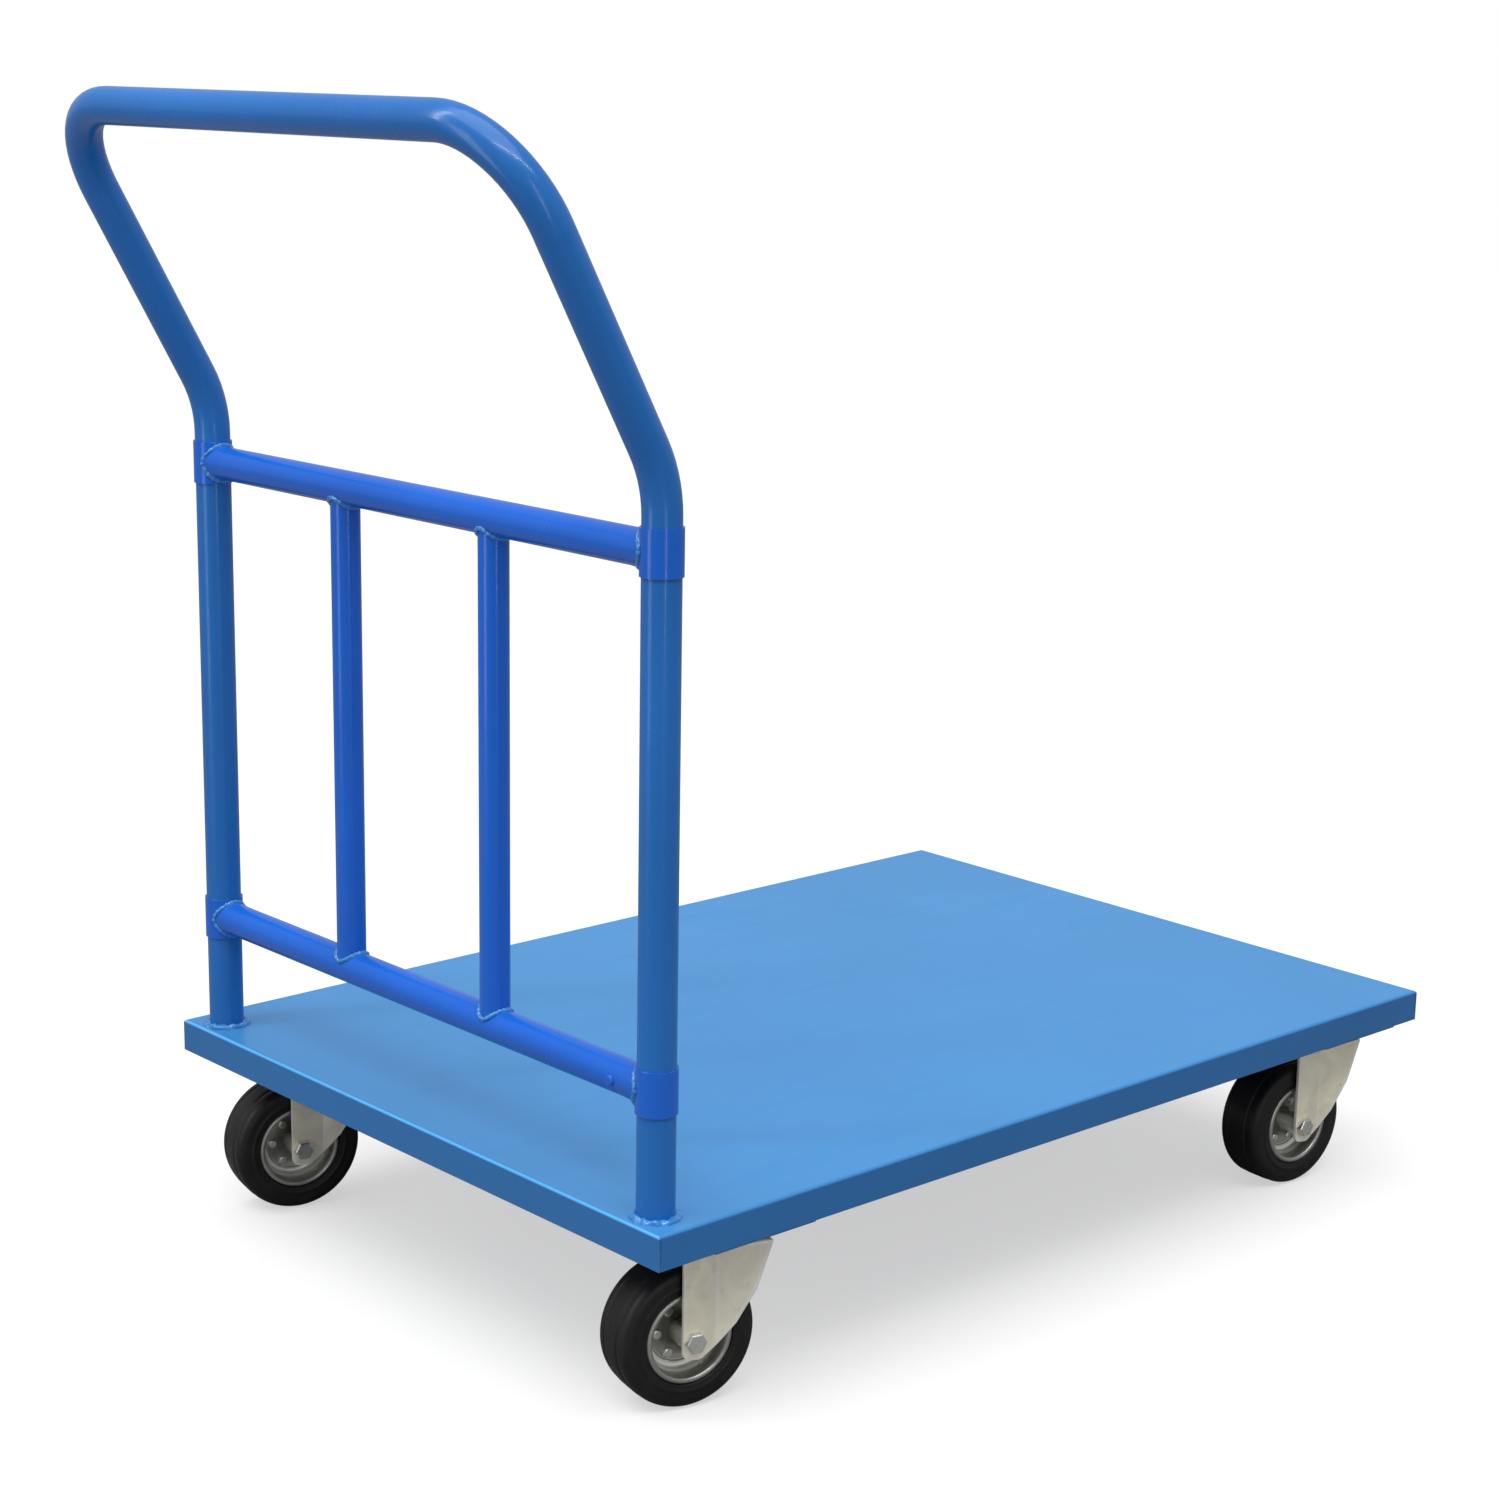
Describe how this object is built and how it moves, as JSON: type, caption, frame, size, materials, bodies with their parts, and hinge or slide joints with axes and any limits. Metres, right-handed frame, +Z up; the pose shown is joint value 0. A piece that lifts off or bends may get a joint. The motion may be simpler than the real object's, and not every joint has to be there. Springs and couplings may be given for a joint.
{
  "type": "flatbed platform truck",
  "caption": "Flat steel platform truck with a folded deck, leaning tube push handle with guard rails, and rubber-tyred swivel casters.",
  "frame": {"origin": "on the floor, under the middle of the whole object's bounding box", "axes": "+X forward from the handle end along the deck, +Y to the left across the deck, +Z up"},
  "size_m": [1.137, 0.7, 1.058],
  "materials": {
    "deck_blue": "gloss enamel, light blue",
    "tube_blue": "gloss enamel, mid blue",
    "guard_blue": "gloss enamel, bright blue",
    "weld_blue": "painted weld bead",
    "frame_blue": "gloss enamel, underside",
    "zinc": "bright zinc plate",
    "zinc_fork": "zinc-plated pressed steel",
    "rim_steel": "zinc-plated pressed rim",
    "ball_steel": "polished steel balls",
    "fastener": "zinc-plated fastener",
    "rubber": "black rubber"
  },
  "bodies": {
    "chassis": {"deck_tray": "deck_blue", "channel_rear": "frame_blue", "channel_front": "frame_blue", "stiffener_left": "frame_blue", "stiffener_right": "frame_blue", "handle_tube": "tube_blue", "foot_welds": "weld_blue", "upper_rail": "guard_blue", "lower_rail": "guard_blue", "collar_upper_left": "guard_blue", "collar_upper_right": "guard_blue", "collar_lower_left": "guard_blue", "collar_lower_right": "guard_blue", "bar_left": "guard_blue", "bar_right": "guard_blue", "frame_welds": "weld_blue", "rail_plug": "guard_blue", "mount_bolts": "fastener", "mount_nuts": "fastener", "plate_rear_left": "zinc", "kingpin_rear_left": "fastener", "plate_rear_right": "zinc", "kingpin_rear_right": "fastener", "plate_front_left": "zinc", "kingpin_front_left": "fastener", "plate_front_right": "zinc", "kingpin_front_right": "fastener"},
    "swivel_rear_left": {"race_rear_left": "zinc", "balls_rear_left": "ball_steel", "fork_rear_left": "zinc_fork", "axle_rear_left": "fastener"},
    "wheel_rear_left": {"tyre_rear_left": "rubber", "rim_rear_left": "rim_steel", "hub_rear_left": "zinc", "rivets_rear_left": "fastener"},
    "swivel_rear_right": {"race_rear_right": "zinc", "balls_rear_right": "ball_steel", "fork_rear_right": "zinc_fork", "axle_rear_right": "fastener"},
    "wheel_rear_right": {"tyre_rear_right": "rubber", "rim_rear_right": "rim_steel", "hub_rear_right": "zinc", "rivets_rear_right": "fastener"},
    "swivel_front_left": {"race_front_left": "zinc", "balls_front_left": "ball_steel", "fork_front_left": "zinc_fork", "axle_front_left": "fastener"},
    "wheel_front_left": {"tyre_front_left": "rubber", "rim_front_left": "rim_steel", "hub_front_left": "zinc", "rivets_front_left": "fastener"},
    "swivel_front_right": {"race_front_right": "zinc", "balls_front_right": "ball_steel", "fork_front_right": "zinc_fork", "axle_front_right": "fastener"},
    "wheel_front_right": {"tyre_front_right": "rubber", "rim_front_right": "rim_steel", "hub_front_right": "zinc", "rivets_front_right": "fastener"}
  },
  "joints": [
    {"name": "swivel_rear_left", "type": "hinge", "parent": "chassis", "child": "swivel_rear_left", "pos_m": [-0.3145, 0.286, 0.144], "axis": [0, 0, 1], "continuous": true},
    {"name": "spin_rear_left", "type": "hinge", "parent": "swivel_rear_left", "child": "wheel_rear_left", "pos_m": [-0.34958, 0.2941, 0.0625], "axis": [0.225, 0.9744, 0], "continuous": true},
    {"name": "swivel_rear_right", "type": "hinge", "parent": "chassis", "child": "swivel_rear_right", "pos_m": [-0.3145, -0.286, 0.144], "axis": [0, 0, 1], "continuous": true},
    {"name": "spin_rear_right", "type": "hinge", "parent": "swivel_rear_right", "child": "wheel_rear_right", "pos_m": [-0.34958, -0.2779, 0.0625], "axis": [0.225, 0.9744, 0], "continuous": true},
    {"name": "swivel_front_left", "type": "hinge", "parent": "chassis", "child": "swivel_front_left", "pos_m": [0.4805, 0.286, 0.144], "axis": [0, 0, 1], "continuous": true},
    {"name": "spin_front_left", "type": "hinge", "parent": "swivel_front_left", "child": "wheel_front_left", "pos_m": [0.44464, 0.28914, 0.0625], "axis": [0.0872, 0.9962, 0], "continuous": true},
    {"name": "swivel_front_right", "type": "hinge", "parent": "chassis", "child": "swivel_front_right", "pos_m": [0.4805, -0.286, 0.144], "axis": [0, 0, 1], "continuous": true},
    {"name": "spin_front_right", "type": "hinge", "parent": "swivel_front_right", "child": "wheel_front_right", "pos_m": [0.44464, -0.28286, 0.0625], "axis": [0.0872, 0.9962, 0], "continuous": true}
  ]
}
